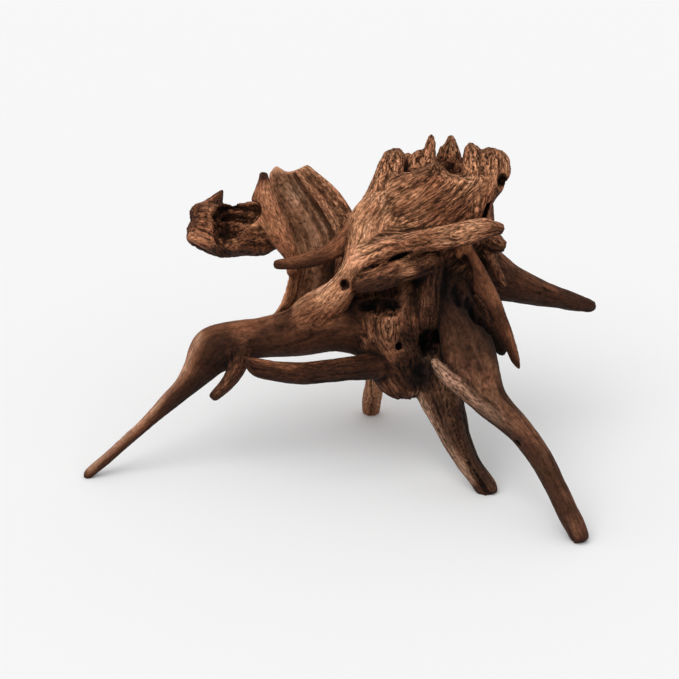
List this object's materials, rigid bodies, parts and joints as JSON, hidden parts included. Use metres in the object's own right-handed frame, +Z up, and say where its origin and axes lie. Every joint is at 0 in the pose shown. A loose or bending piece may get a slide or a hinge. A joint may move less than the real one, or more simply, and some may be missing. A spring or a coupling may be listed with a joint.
{
  "type": "driftwood",
  "caption": "Weathered root stump with a broken crown of teeth, a hollow cup, a curled shell of old wood and splayed roots to stand on.",
  "frame": {"origin": "middle of the outline seen from above, on the surface it stands on", "axes": "+Z up, +X along the longest extent towards the right root arm, -Y towards the front"},
  "size_m": [0.4187, 0.2321, 0.2494],
  "materials": {
    "wood": "bare weathered wood, matt"
  },
  "bodies": {
    "root": {"driftwood": "wood"}
  },
  "joints": []
}
